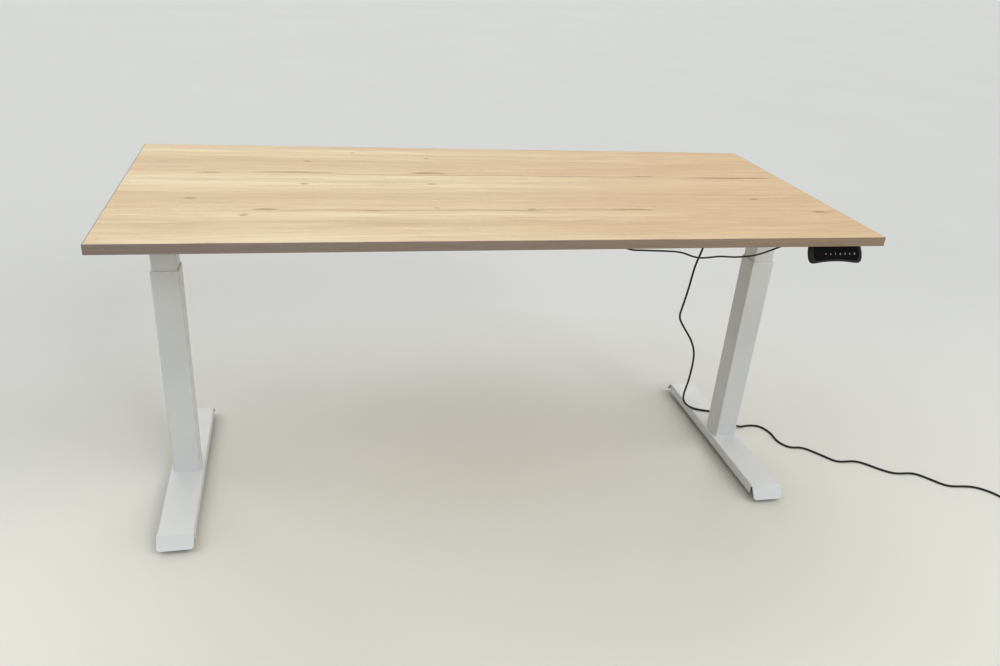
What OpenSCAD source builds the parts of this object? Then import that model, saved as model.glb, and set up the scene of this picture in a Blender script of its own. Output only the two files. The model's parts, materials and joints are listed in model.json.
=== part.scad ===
// Electric height adjustable standing desk with two lifting columns.
// Origin: on the floor, under the middle of the tabletop. Front is -Y, up is +Z.
// It is drawn partly raised. Sizes are in millimetres.

/* [Tabletop] */
// Width of the tabletop, along X
top_w = 1800; // [1760:10:2000]
// Depth of the tabletop, along Y
top_d = 800; // [760:10:900]
// Height of the tabletop's upper face above the floor, as drawn
top_h = 842; // [835:1:900]
// Thickness of the board
board_t = 22; // [18:1:28]
// Thickness of the edge banding
band_t = 2; // [1:0.5:3]

/* [Columns] */
// Distance of each column's centre line from the middle of the desk
column_x = 814; // [780:1:830]
// Place of the columns along Y
column_y = -8; // [-20:1:20]
// Outside width of the square outer tube
outer_w = 68; // [66:1:72]
// Height of the outer tube's top end above the floor
outer_top = 633; // [600:1:640]
// Outside width of the square inner tube
inner_w = 61; // [58:1:62]
// Wall of both tubes
tube_wall = 2; // [1.5:0.5:2]
// Radius of the spindle
spindle_r = 9; // [8:0.5:10]

/* [Feet] */
// Width of a foot
foot_w = 88; // [80:1:96]
// Height of a foot's flat top above the floor
foot_top = 42.4; // [40:0.2:46]
// Front end of the flat top
foot_front = -306; // [-340:1:-280]
// Rear end of the flat top
foot_rear = 293; // [280:1:320]
// Thickness of the folded sheet
sheet = 3; // [2.5:0.5:4]
// Angle by which the end plates fold down
fold_angle = 51; // [45:1:60]

/* [Handset] */
// Place of the handset's middle along X
handset_x = 777; // [700:1:800]
// Width of the handset
handset_w = 147; // [140:1:160]
// Distance between two keys
key_pitch = 13; // [12:0.5:14]
// Radius of a key's cap
key_r = 4.5; // [3.5:0.1:5]

/* [Cords] */
// Diameter of the mains cord
mains_d = 6; // [5:0.5:7]
// Diameter of the handset's cable
cable_d = 4; // [3:0.5:4.5]

/* [Hidden] */
$fn = 48;

eps = 0.01;
white = [0.93, 0.93, 0.92];
black = [0.05, 0.05, 0.055];
steel = [0.62, 0.63, 0.65];
oak = [0.80, 0.66, 0.47];
oak_edge = [0.52, 0.42, 0.33];

under = top_h - board_t;
clearance = 0.3;
fit_gap = 0.05;

// Board and banding
band_round = band_t / 2;
wood_screw_r = 2;
wood_screw_depth = 14;
wood_head_r = 4;
wood_head_h = 2.4;

// Side brackets, just outside the heads
head_out = column_x + 36;
bracket_w = 28;
bracket_h = 38;
bracket_half = 260;
bracket_taper = 90;
bracket_tip = 12;
bracket_screw_y = [-230, 0, 230];

// Rails between the heads
rail_off = 54;
rail_w = 20;
rail_h = 40;
rail_top = under - 2;
rail_wall = 2;
inner_rail_w = rail_w - 2 * rail_wall - 2 * clearance;
inner_rail_h = rail_h - 2 * rail_wall - 2 * clearance;
rail_end = head_out - 3;
outer_rail_end = 50;
inner_rail_end = -250;
lock_x = [-30, 20];

// Column heads
head_bottom = under - 60;
head_top = under - 2;
head_in = column_x - 84;
outer_head_half = rail_off - rail_w / 2;
inner_head_half = rail_off - inner_rail_w / 2;
head_screw_x = [column_x - 58, column_x + 22];
end_screw_y = [-24, 24];
frame_screw_r = 3;
frame_screw_len = 10;
frame_head_r = 5;
frame_head_h = 3;
frame_screw_z = under - 22;
spindle_hole_r = 14;

// Gearbox and motor
gearbox_w = 52;
gearbox_bottom = head_bottom + sheet;
gearbox_top = under - 12;
motor_r = 25;
motor_z = under - 30;
motor_len = 92;
motor_cap = 8;
bearing_r = 13;
bearing_h = 8;
journal_r = 6;
journal_top = gearbox_bottom + 30;

// Columns
base_plate = 6;
tube_round = 4;
inner_bottom = 180;
glide_h = 50;
glide_w = outer_w - 2 * tube_wall - 2 * clearance;
collar_w = inner_w + 2 * clearance;
collar_lip = 4;
collar_depth = 35;
spindle_bottom = 180;
nut_tube_r = 19;
nut_tube_bore = 15;
nut_tube_floor = 10;
nut_bottom = 560;
nut_flange = 12;
nut_sleeve = 20;
nut_flange_r = 23;
tube_floor = foot_top + base_plate;

// Feet
flange_bottom = 15;
flange_gap = 6;
bend_r = 3;
plate_len = 36;
plate_round = 9;
bolt_pitch = 44;
bolt_r = 3.9;
bolt_head_r = 6.5;
bolt_head_h = 5;
bolt_len = 16;
bolt_bore = 4;
level_y = [-262, 249];
level_stem_r = 4;
level_pad_r = 17;
level_pad_h = 8;
level_stem_top = 36;
level_nut_r = 8;
level_nut_h = 12;

// Control box under the board
box_x = 300;
box_len = 290;
box_y = 80;
box_w = 100;
box_wall = 2.5;
box_bottom = under - 42;
box_lug = 14;
cable_in = [box_x, 130, under - 23];
socket_y = 126;
socket_z = under - 23;
nose_w = 25.8;
nose_h = 17.8;
nose_len = 14;
plug_body_w = 30;
plug_body_h = 22;
plug_body_len = 22;
relief_len = 36;

// Handset under the front edge. Its face leans, with the lower edge forward of the upper edge
handset_y = 12 - top_d / 2;
handset_lean = 27;
fascia_t = 2.5;
handset_h = 44;
handset_rim = 8.5;
handset_step = 18;
handset_back = handset_y + 23;
handset_wall = 2.5;
handset_round = 9;
// Side views of the housing's back part and of the space in it, as [y behind the face's top edge, z below the top]
handset_wedge = [[2.5, -8], [-9.5, -34], [handset_back - handset_y, -26], [handset_back - handset_y, -8]];
handset_space = [
    [0, -10.5], [-9.6, -31.5], [handset_back - handset_y - handset_wall, -24.2],
    [handset_back - handset_y - handset_wall, -10.5]
];
scoop_r = 420;
scoop_rise = 4.3;
key_drop = 22;
key_x = 10;
key_proud = 0.6;
key_len = 4;
key_gap = 0.7;
window_w = 20;
window_h = 13;
window_x = -47.5;
gland_x = handset_x - 17;
gland_z = under - 20;
tab_x = 45;
tab_w = 18;
tab_len = 20;
tab_screw_y = handset_y + 18;
board_gap = 4.6;
board_sheet = 1.2;
clip_z = under - 9;

// Routes of the two cords, by hand, as [x, y, z]
mains_route = [
    [648, 126, 797], [658, 126, 797], [681, 126, 788], [697, 124, 762], [704, 121, 700],
    [702, 120, 630], [686, 120, 560], [679, 121, 490], [672, 125, 425], [669, 128, 388],
    [690, 132, 352], [728, 134, 298], [750, 139, 245], [752, 143, 150], [746, 147, 88],
    [750, 145, 60], [770, 128, 47], [796, 112, 46], [830, 98, 46], [862, 84, 46],
    [892, 68, 20], [922, 59, 4], [960, 64, 3], [995, 55, 3], [1013, 15, 3],
    [1013, -40, 3], [1035, -75, 3], [1075, -82, 3], [1118, -130, 3], [1150, -168, 3],
    [1215, -176, 3], [1268, -226, 3], [1300, -250, 3], [1365, -260, 3], [1398, -294, 3],
    [1430, -330, 3], [1512, -348, 3], [1550, -380, 3], [1574, -430, 3], [1592, -477, 3]
];
cable_route = [
    [760, -357, 800], [759, -349, 801], [755, -342, 804], [749, -338, 807], [740, -337, 810],
    [725, -337, 811], [695, -337, 811], [676, -338, 805], [658, -340, 798], [640, -340, 791],
    [608, -340, 780], [582, -340, 775], [542, -340, 773], [502, -340, 775], [455, -340, 772],
    [431, -340, 776], [405, -340, 785], [382, -340, 789], [305, -340, 793], [272, -340, 795],
    [248, -337, 802], [228, -320, 809], [217, -290, 811], [215, -240, 811], [215, -150, 811],
    [215, -110, 796], [216, -84, 772], [218, -8, 768], [219, 70, 774], [226, 100, 790],
    [245, 122, 797], [270, 130, 797], [306, 130, 797]
];

// Coil of the mains cord on the floor, and the plug beside it
coil_at = [1631, -461];
coil_r = 36;
coil_turns_wide = 3;
coil_layers = 2;
plug_angle = 300;
plug_r = 19.5;
plug_pin_r = 2.4;
plug_pin_gap = 19;

// ---- shapes that repeat ----

module rounded_rect(w, d, r) {
    square([w - 2 * r, d], center = true);
    square([w, d - 2 * r], center = true);
    for (x = [-1, 1], y = [-1, 1])
        translate([x * (w / 2 - r), y * (d / 2 - r)]) circle(r);
}

module square_tube(w, bore, r, h) {
    linear_extrude(h) difference() {
        rounded_rect(w, w, r);
        rounded_rect(bore, bore, max(r - tube_wall, 1));
    }
}

module box(from, to) {
    translate(from) cube(to - from);
}

// A cylinder along X, from x = 0
module rod_x(r, len) {
    rotate([0, 90, 0]) cylinder(r = r, h = len);
}

// A cylinder along Y, from y = 0
module rod_y(r, len) {
    rotate([-90, 0, 0]) cylinder(r = r, h = len);
}

// A cone along Y, from y = 0
module rod_taper(r_start, r_end, len) {
    rotate([-90, 0, 0]) cylinder(r1 = r_start, r2 = r_end, h = len);
}

module on_left() {
    mirror([1, 0, 0]) children();
}

module at_column() {
    translate([column_x, column_y, 0]) children();
}

// Tube along a list of points, one ring at each point
function unit(v) = v / norm(v);
function heading(p, i) = unit(p[min(i + 1, len(p) - 1)] - p[max(i - 1, 0)]);
function across(v, t) = unit(v - (v * t) * t);
function sides_along(p) = [
    for (i = 0, s = across([0, 0.2, 1], heading(p, 0)); i < len(p);
         i = i + 1, s = i < len(p) ? across(s, heading(p, i)) : s) s
];

module cord_tube(p, d, n) {
    s = sides_along(p);
    points = [
        for (i = [0 : len(p) - 1], k = [0 : n - 1])
            p[i] + d / 2 * (cos(360 * k / n) * s[i] + sin(360 * k / n) * cross(heading(p, i), s[i]))
    ];
    walls = [
        for (i = [0 : len(p) - 2], k = [0 : n - 1])
            [i * n + k, (i + 1) * n + k, (i + 1) * n + (k + 1) % n, i * n + (k + 1) % n]
    ];
    start = [for (k = [0 : n - 1]) k];
    end = [for (k = [n - 1 : -1 : 0]) (len(p) - 1) * n + k];
    polyhedron(points, concat([start], walls, [end]), convexity = 6);
}

// ---- tabletop ----

// Places of the wood screws: [x, y, height of the face the head sits on]
wood_screws_at = concat(
    [for (x = [-1, 1], y = bracket_screw_y) [x * (head_out + 17), column_y + y, under - sheet]],
    [for (x = [box_x - 7, box_x + box_len + 7], y = [box_y + 14, box_y + box_w - 14])
        [x, y, under - sheet]],
    [for (x = [-tab_x, tab_x]) [handset_x + x, tab_screw_y, under - sheet]]
);

module tabletop() {
    color(oak) difference() {
        box([band_t - top_w / 2, band_t - top_d / 2, under], [top_w / 2 - band_t, top_d / 2 - band_t, top_h]);
        for (p = wood_screws_at)
            translate([p[0], p[1], under - eps])
                cylinder(r = wood_screw_r + fit_gap, h = wood_screw_depth - sheet + 1);
    }
}

// Cross-section of the banding, with its outer edges eased
module band_profile() {
    translate([0, band_round]) square([band_t, board_t - 2 * band_round]);
    square([band_t - band_round, board_t]);
    for (y = [band_round, board_t - band_round]) translate([band_t - band_round, y]) circle(band_round);
}

module long_band() {
    translate([-top_w / 2, band_t - top_d / 2, under])
        rotate([90, 0, 90]) mirror([1, 0, 0]) linear_extrude(top_w) band_profile();
}

module short_band() {
    translate([top_w / 2 - band_t, top_d / 2 - band_t, under])
        rotate([90, 0, 0]) linear_extrude(top_d - 2 * band_t) band_profile();
}

module edge_bands_long() {
    color(oak_edge) {
        long_band();
        mirror([0, 1, 0]) long_band();
    }
}

module edge_bands_short() {
    color(oak_edge) {
        short_band();
        on_left() short_band();
    }
}

// ---- frame under the top ----

module side_bracket() {
    web = [
        [-bracket_half, bracket_h - bracket_tip], [bracket_taper - bracket_half, 0],
        [bracket_half - bracket_taper, 0], [bracket_half, bracket_h - bracket_tip],
        [bracket_half, bracket_h], [-bracket_half, bracket_h]
    ];
    color(white) difference() {
        union() {
            translate([head_out, column_y, under - bracket_h])
                rotate([90, 0, 90]) linear_extrude(sheet) polygon(web);
            box([head_out, column_y - bracket_half, under - sheet],
                [head_out + bracket_w, column_y + bracket_half, under]);
        }
        for (y = bracket_screw_y)
            translate([head_out + 17, column_y + y, under - sheet - 1])
                cylinder(r = wood_screw_r + 0.3, h = sheet + 2);
        for (y = end_screw_y)
            translate([head_out - 1, column_y + y, frame_screw_z]) rod_x(frame_screw_r + 0.1, sheet + 2);
    }
}

// Holes for the screws that hold a rail to a head, on the side of the rail that faces the head
module head_rail_holes(side, half) {
    for (x = head_screw_x)
        translate([x, column_y + side * half - side * 6, frame_screw_z])
            mirror([0, side < 0 ? 1 : 0, 0]) rod_y(frame_screw_r + 0.1, 10);
}

module lock_holes(side) {
    for (x = lock_x)
        translate([x, column_y + side * (rail_off + rail_w / 2 + 1), frame_screw_z])
            mirror([0, side > 0 ? 1 : 0, 0]) rod_y(frame_screw_r + 0.1, 8);
}

module rail_outer(side) {
    color(white) difference() {
        translate([-rail_end, column_y + side * rail_off, rail_top - rail_h / 2])
            rotate([90, 0, 90]) linear_extrude(rail_end + outer_rail_end) difference() {
                rounded_rect(rail_w, rail_h, 2);
                rounded_rect(rail_w - 2 * rail_wall, rail_h - 2 * rail_wall, 0.5);
            }
        on_left() head_rail_holes(side, outer_head_half);
        lock_holes(side);
    }
}

module rail_inner(side) {
    color(white) difference() {
        translate([inner_rail_end, column_y + side * rail_off, rail_top - rail_h / 2])
            rotate([90, 0, 90]) linear_extrude(rail_end - inner_rail_end) difference() {
                rounded_rect(inner_rail_w, inner_rail_h, 0.5);
                rounded_rect(inner_rail_w - 2 * rail_wall, inner_rail_h - 2 * rail_wall, 0.4);
            }
        head_rail_holes(side, inner_head_half);
        lock_holes(side);
    }
}

// Open box of folded sheet that ties the inner tube, the rails and the side bracket together
module column_head(half) {
    color(white) difference() {
        box([head_in, column_y - half, head_bottom], [head_out, column_y + half, head_top]);
        box([head_in - 1, column_y - half + sheet, head_bottom + sheet],
            [head_out - sheet, column_y + half - sheet, head_top + 1]);
        at_column() translate([0, 0, head_bottom - 1]) cylinder(r = spindle_hole_r, h = sheet + 2);
        for (side = [-1, 1]) head_rail_holes(side, half);
        for (y = end_screw_y)
            translate([head_out - sheet - 1, column_y + y, frame_screw_z])
                rod_x(frame_screw_r + 0.1, sheet + 2);
    }
}

module gearbox() {
    color(steel) difference() {
        at_column() translate([0, 0, gearbox_bottom]) {
            linear_extrude(gearbox_top - gearbox_bottom) rounded_rect(gearbox_w, gearbox_w + 8, 5);
        }
        at_column() translate([0, 0, gearbox_bottom - 1]) {
            cylinder(r = bearing_r, h = bearing_h + 1);
            cylinder(r = journal_r + fit_gap, h = 33);
        }
    }
}

module motor() {
    color(steel) translate([column_x - gearbox_w / 2 - motor_len, column_y, motor_z]) {
        rod_x(motor_r, motor_len);
        translate([-motor_cap, 0, 0]) rod_x(motor_r - 4, motor_cap + eps);
    }
}

module thrust_bearing() {
    at_column() translate([0, 0, gearbox_bottom + 0.2]) difference() {
        cylinder(r = bearing_r - fit_gap, h = bearing_h - 0.4);
        translate([0, 0, -1]) cylinder(r = journal_r + fit_gap, h = bearing_h + 2);
    }
}

module thrust_bearings() {
    color(steel) {
        thrust_bearing();
        on_left() thrust_bearing();
    }
}

// ---- columns ----

module inner_tube() {
    color(white) at_column() translate([0, 0, inner_bottom])
        square_tube(inner_w, inner_w - 2 * tube_wall, tube_round, head_bottom - inner_bottom);
}

// Plastic sleeve on the lower end of the inner tube
module inner_glide() {
    at_column() translate([0, 0, inner_bottom])
        square_tube(glide_w, inner_w, tube_round, glide_h);
}

module inner_tube_glides() {
    color(black) {
        inner_glide();
        on_left() inner_glide();
    }
}

module spindle() {
    color(steel) at_column() {
        translate([0, 0, spindle_bottom]) cylinder(r = spindle_r, h = gearbox_bottom - spindle_bottom);
        translate([0, 0, gearbox_bottom - 1]) cylinder(r = journal_r, h = journal_top - gearbox_bottom);
    }
}

module outer_tube() {
    color(white) at_column() difference() {
        union() {
            translate([0, 0, foot_top])
                square_tube(outer_w, outer_w - 2 * tube_wall, tube_round, outer_top - foot_top);
            translate([0, 0, foot_top])
                linear_extrude(base_plate) rounded_rect(outer_w - tube_wall, outer_w - tube_wall, tube_round - 1);
        }
        bolt_places() translate([0, 0, foot_top - 1]) cylinder(r = bolt_bore, h = base_plate + 2);
    }
}

// Plastic collar in the mouth of the outer tube
module outer_collar() {
    color(white) at_column() {
        translate([0, 0, outer_top]) square_tube(outer_w, collar_w, tube_round, collar_lip);
        translate([0, 0, outer_top - collar_depth])
            square_tube(outer_w - 2 * tube_wall, collar_w, tube_round - 1, collar_depth + eps);
    }
}

module nut_tube() {
    color(steel) at_column() translate([0, 0, tube_floor]) difference() {
        cylinder(r = nut_tube_r, h = nut_bottom - tube_floor);
        translate([0, 0, nut_tube_floor]) cylinder(r = nut_tube_bore, h = nut_bottom - tube_floor);
        translate([0, 0, -1]) cylinder(r = bolt_bore, h = nut_tube_floor + 2);
    }
}

module spindle_nut() {
    color(black) at_column() difference() {
        union() {
            translate([0, 0, nut_bottom]) cylinder(r = nut_flange_r, h = nut_flange);
            translate([0, 0, nut_bottom - nut_sleeve]) cylinder(r = nut_tube_bore - fit_gap, h = nut_sleeve + eps);
        }
        translate([0, 0, nut_bottom - nut_sleeve - 1])
            cylinder(r = spindle_r + fit_gap, h = nut_sleeve + nut_flange + 2);
    }
}

// ---- feet ----

module bolt_places() {
    children();
    for (x = [-1, 1], y = [-1, 1]) translate([x, y, 0] * bolt_pitch / 2) children();
}

// Outline of the channel: flat bottom, rounded top corners
module tunnel(w, low, high, r) {
    translate([-w / 2, low]) square([w, high - r - low]);
    translate([r - w / 2, low]) square([w - 2 * r, high - low]);
    for (x = [-1, 1]) translate([x * (w / 2 - r), high - r]) circle(r);
}

// End plate, folded down from the flat top at y = 0 towards -Y
module end_plate() {
    outer_r = bend_r + sheet;
    translate([0, 0, foot_top - outer_r]) {
        translate([-foot_w / 2, 0, 0]) rotate([0, 90, 0]) rotate([0, 0, 180])
            rotate_extrude(angle = fold_angle) translate([bend_r, 0]) square([sheet, foot_w]);
        rotate([fold_angle, 0, 0]) translate([0, 0, bend_r]) linear_extrude(sheet) {
            translate([-foot_w / 2, plate_round - plate_len]) square([foot_w, plate_len - plate_round]);
            translate([plate_round - foot_w / 2, -plate_len]) square([foot_w - 2 * plate_round, plate_len]);
            for (x = [-1, 1])
                translate([x * (foot_w / 2 - plate_round), plate_round - plate_len]) circle(plate_round);
        }
    }
}

module foot() {
    color(white) difference() {
        translate([column_x, 0, 0]) {
            translate([0, foot_rear - flange_gap, 0]) rotate([90, 0, 0])
                linear_extrude(foot_rear - foot_front - 2 * flange_gap) difference() {
                    tunnel(foot_w, flange_bottom, foot_top, 4);
                    tunnel(foot_w - 2 * sheet, flange_bottom - 1, foot_top - sheet, 1);
                }
            box([-foot_w / 2, foot_front, foot_top - sheet], [foot_w / 2, foot_front + flange_gap, foot_top]);
            box([-foot_w / 2, foot_rear - flange_gap, foot_top - sheet], [foot_w / 2, foot_rear, foot_top]);
            translate([0, foot_front, 0]) end_plate();
            translate([0, foot_rear, 0]) mirror([0, 1, 0]) end_plate();
            for (y = level_y) translate([0, y, foot_top - sheet - level_nut_h])
                cylinder(r = level_nut_r, h = level_nut_h + eps);
        }
        at_column() bolt_places() translate([0, 0, foot_top - sheet - 1]) cylinder(r = bolt_r + 0.3, h = sheet + 2);
        for (y = level_y) translate([column_x, y, foot_top - sheet - level_nut_h - 1])
            cylinder(r = level_stem_r + fit_gap, h = level_nut_h);
    }
}

module foot_bolts() {
    color(steel) at_column() bolt_places() {
        translate([0, 0, foot_top - sheet - bolt_head_h]) cylinder(r = bolt_head_r, h = bolt_head_h);
        translate([0, 0, foot_top - sheet - eps]) cylinder(r = bolt_r, h = bolt_len);
    }
}

module levelling_glide(y) {
    color(black) translate([column_x, y, 0]) {
        cylinder(r = level_pad_r, h = level_pad_h - 2);
        translate([0, 0, level_pad_h - 2]) cylinder(r1 = level_pad_r, r2 = level_pad_r - 5, h = 2);
        cylinder(r = level_stem_r, h = level_stem_top);
    }
}

// ---- control box ----

module control_box_base() {
    color(black) difference() {
        box([box_x - box_lug, box_y, under - sheet], [box_x + box_len + box_lug, box_y + box_w, under]);
        for (x = [box_x - 7, box_x + box_len + 7], y = [box_y + 14, box_y + box_w - 14])
            translate([x, y, under - sheet - 1]) cylinder(r = wood_screw_r + 0.3, h = sheet + 2);
    }
}

module control_box_cover() {
    color(black) difference() {
        translate([box_x + box_len / 2, box_y + box_w / 2, box_bottom])
            linear_extrude(under - sheet - box_bottom) rounded_rect(box_len, box_w, 4);
        box([box_x + box_wall, box_y + box_wall, box_bottom + box_wall],
            [box_x + box_len - box_wall, box_y + box_w - box_wall, under]);
        translate([box_x + box_len - box_wall - 1, socket_y - nose_w / 2 - 0.2, socket_z - nose_h / 2 - 0.2])
            cube([box_wall + 2, nose_w + 0.4, nose_h + 0.4]);
        translate(cable_in - [1, 0, 0]) rod_x(cable_d / 2 + 0.3, box_wall + 2);
    }
}

module control_board() {
    floor_z = box_bottom + box_wall;
    mid_y = box_y + box_w / 2;
    color([0.10, 0.35, 0.20]) {
        box([box_x + 12, box_y + 6, floor_z + 3], [box_x + box_len - 24, box_y + box_w - 6, floor_z + 4.6]);
        box([box_x + 40, mid_y - 22, floor_z + 4], [box_x + 90, mid_y + 18, floor_z + 28]);
        box([box_x + 110, mid_y + 8, floor_z + 4], [box_x + 150, mid_y + 34, floor_z + 20]);
        for (x = [120, 145, 170]) translate([box_x + x, mid_y - 20, floor_z + 4]) cylinder(r = 9, h = 24);
        for (x = [170, 205]) box([box_x + x, mid_y + 2, floor_z + 4], [box_x + x + 26, mid_y + 18, floor_z + 20]);
        for (x = [30, 250]) translate([box_x + x, mid_y + 30, floor_z]) cylinder(r = 3, h = 4);
        for (x = [30, 250]) translate([box_x + x, mid_y - 30, floor_z]) cylinder(r = 3, h = 4);
    }
}

// Moulded connector in the control box's mains inlet, with its tapered relief
module mains_connector() {
    end_x = box_x + box_len;
    color(black) translate([end_x, socket_y, socket_z]) {
        translate([-nose_len, -nose_w / 2, -nose_h / 2]) cube([nose_len + eps, nose_w, nose_h]);
        rotate([90, 0, 90]) linear_extrude(plug_body_len) rounded_rect(plug_body_w, plug_body_h, 5);
        translate([plug_body_len - eps, 0, 0]) rotate([0, 90, 0])
            cylinder(r1 = 8, r2 = mains_d / 2 + 0.8, h = relief_len + eps);
    }
}

// ---- mains cord ----

module mains_cord() {
    color(black) cord_tube(mains_route, mains_d, 8);
}

module mains_coil() {
    half_band = coil_turns_wide * mains_d / 2;
    color(black) translate([coil_at[0], coil_at[1], 0]) rotate_extrude()
        translate([coil_r - half_band, 0]) square([2 * half_band, coil_layers * mains_d]);
}

// Grounded plug that lies on the floor, its relief drooping to the coil's outer turn
module mains_plug() {
    body = 30;
    grip = 26;
    relief = 30;
    droop = 20;
    color(black) translate([coil_at[0], coil_at[1], plug_r]) rotate(plug_angle)
        translate([coil_r + mains_d, 52, 0]) {
            rotate([180 - droop, 0, 0]) rod_taper(7, mains_d / 2 + 0.8, relief);
            rod_taper(9, 15, grip);
            translate([0, grip - eps, 0]) rod_y(plug_r, body);
            for (x = [-1, 1]) translate([x * plug_pin_gap / 2, grip + body - 2 * eps, 0])
                rod_y(plug_pin_r, 19);
        }
}

// ---- handset ----

// Puts its children on the leaning face: X from its middle, Y behind it, Z up along it from its top edge
module on_face() {
    translate([handset_x, handset_y, under]) rotate([-handset_lean, 0, 0]) children();
}

// Outline seen from the front, drawn in from its edge by inset, with a hollow lower edge. It goes rise past the top
module handset_outline(inset, rise) {
    w = handset_w - 2 * inset;
    r = handset_round - inset;
    difference() {
        union() {
            translate([-w / 2, r + inset - handset_h]) square([w, handset_h - r - 2 * inset + rise]);
            translate([r - w / 2, inset - handset_h]) square([w - 2 * r, handset_h - 2 * inset]);
            for (x = [-1, 1]) translate([x * (w / 2 - r), r + inset - handset_h]) circle(r);
        }
        translate([0, scoop_rise - handset_h - scoop_r]) circle(scoop_r + inset, $fn = 96);
    }
}

module handset_slab(inset, front, back, rise = 0) {
    translate([0, back, 0]) rotate([90, 0, 0]) linear_extrude(back - front) handset_outline(inset, rise);
}

// A side view drawn out across the handset, drawn in from its sides by inset
module handset_body(side_view, inset) {
    w = handset_w - 2 * inset;
    translate([handset_x - w / 2, handset_y, under]) rotate([90, 0, 90]) linear_extrude(w) polygon(side_view);
}

module handset_housing() {
    color(black) difference() {
        union() {
            on_face() handset_slab(0, fascia_t, handset_rim, 6);
            handset_body(handset_wedge, handset_step);
            for (x = [-tab_x, tab_x])
                translate([handset_x + x - tab_w / 2, handset_y + 6, under - sheet]) cube([tab_w, tab_len, sheet]);
        }
        on_face() handset_slab(handset_wall, 0, handset_rim - handset_wall);
        handset_body(handset_space, handset_step + handset_wall);
        translate([gland_x, handset_back - handset_wall - 1, gland_z]) rod_y(3.6, handset_wall + 2);
        for (x = [-tab_x, tab_x]) translate([handset_x + x, tab_screw_y, under - sheet - 1])
            cylinder(r = wood_screw_r + 0.3, h = sheet + 2);
        translate([handset_x - handset_w, handset_y - 20, under]) cube([2 * handset_w, 60, 10]);
    }
}

module handset_fascia() {
    color([0.02, 0.02, 0.025]) on_face() difference() {
        handset_slab(0, 0, fascia_t);
        for (i = [0 : 6]) translate([key_x + (i - 3) * key_pitch, -1, -key_drop])
            rod_y(key_r + clearance, fascia_t + 2);
        translate([window_x, 0.6, -key_drop]) rotate([90, 0, 0])
            linear_extrude(2) rounded_rect(window_w, window_h, 1.5);
    }
}

module handset_board() {
    switch_h = board_gap + key_proud - key_len - key_gap;
    color([0.10, 0.35, 0.20]) on_face() {
        box([-62, board_gap, -33], [62, board_gap + board_sheet, -6]);
        for (i = [0 : 6]) translate([key_x + (i - 3) * key_pitch, board_gap - switch_h, -key_drop])
            rod_y(2.5, switch_h + eps);
        box([-25, board_gap + 1, -24], [-9, board_gap + 9, -16]);
    }
}

module handset_gland() {
    color(black) translate([gland_x, handset_back - 6, gland_z]) {
        rod_y(3.4, 10);
        translate([0, 8, 0]) rod_taper(3.4, cable_d / 2 + 0.4, 6);
    }
}

module key(i) {
    color([0.07, 0.07, 0.075]) on_face()
        translate([key_x + (i - 3) * key_pitch, -key_proud, -key_drop]) rod_y(key_r, key_len);
}

module handset_cable() {
    color(black) cord_tube(cable_route, cable_d, 8);
}

// Stick-on clip that holds the handset's cable; the cable runs along Y
module clip() {
    translate([-7, -7, under - 2]) cube([14, 14, 2]);
    translate([-2, -4, clip_z + 3]) cube([4, 8, under - 2 - clip_z - 3 + eps]);
    translate([0, -4, clip_z]) difference() {
        rod_y(4.2, 8);
        translate([0, -1, 0]) rod_y(2.6, 10);
    }
}

module cable_clips() {
    color(black) {
        for (y = [-225, -170]) translate([215, y, 0]) clip();
        translate([712, -337, 0]) rotate(90) clip();
    }
}

// ---- screws ----

module wood_screws() {
    color(steel) for (p = wood_screws_at) translate(p) {
        translate([0, 0, -wood_head_h]) cylinder(r1 = wood_head_r - 1.2, r2 = wood_head_r, h = wood_head_h);
        translate([0, 0, -eps]) cylinder(r = wood_screw_r, h = wood_screw_depth);
    }
}

// Screw along +X, the underside of its head at x = 0
module frame_screw() {
    translate([-frame_head_h, 0, 0]) rod_x(frame_head_r, frame_head_h);
    translate([-eps, 0, 0]) rod_x(frame_screw_r, frame_screw_len);
}

module head_screws(half) {
    for (x = head_screw_x, side = [-1, 1])
        translate([x, column_y + side * (half - sheet), frame_screw_z]) rotate(side * 90) frame_screw();
    for (y = end_screw_y)
        translate([head_out + sheet, column_y + y, frame_screw_z]) rotate(180) frame_screw();
}

module frame_screws() {
    color(steel) {
        head_screws(inner_head_half);
        on_left() head_screws(outer_head_half);
        for (x = lock_x, side = [-1, 1])
            translate([x, column_y + side * (rail_off + rail_w / 2), frame_screw_z])
                rotate(-side * 90) frame_screw();
    }
}

// ---- nodes ----

tabletop();
edge_bands_long();
edge_bands_short();
on_left() side_bracket();  // left_side_bracket
side_bracket();  // right_side_bracket
rail_outer(-1);  // front_rail_outer
rail_inner(-1);  // front_rail_inner
rail_outer(1);  // rear_rail_outer
rail_inner(1);  // rear_rail_inner
on_left() column_head(outer_head_half);  // left_column_head
column_head(inner_head_half);  // right_column_head
on_left() gearbox();  // left_gearbox
gearbox();  // right_gearbox
on_left() motor();  // left_motor
motor();  // right_motor
thrust_bearings();
on_left() inner_tube();  // left_inner_tube
inner_tube();  // right_inner_tube
inner_tube_glides();
on_left() spindle();  // left_spindle
spindle();  // right_spindle
on_left() foot();  // left_foot
foot();  // right_foot
on_left() outer_tube();  // left_outer_tube
outer_tube();  // right_outer_tube
on_left() outer_collar();  // left_outer_collar
outer_collar();  // right_outer_collar
on_left() nut_tube();  // left_nut_tube
nut_tube();  // right_nut_tube
on_left() spindle_nut();  // left_spindle_nut
spindle_nut();  // right_spindle_nut
on_left() foot_bolts();  // left_foot_bolts
foot_bolts();  // right_foot_bolts
on_left() levelling_glide(level_y[0]);  // glide_left_front
on_left() levelling_glide(level_y[1]);  // glide_left_rear
levelling_glide(level_y[0]);  // glide_right_front
levelling_glide(level_y[1]);  // glide_right_rear
control_box_base();
control_box_cover();
control_board();
mains_connector();
mains_cord();
mains_coil();
mains_plug();
handset_housing();
handset_fascia();
handset_board();
handset_gland();
key(0);  // key_up
key(1);  // key_down
key(2);  // key_1
key(3);  // key_2
key(4);  // key_3
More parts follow.
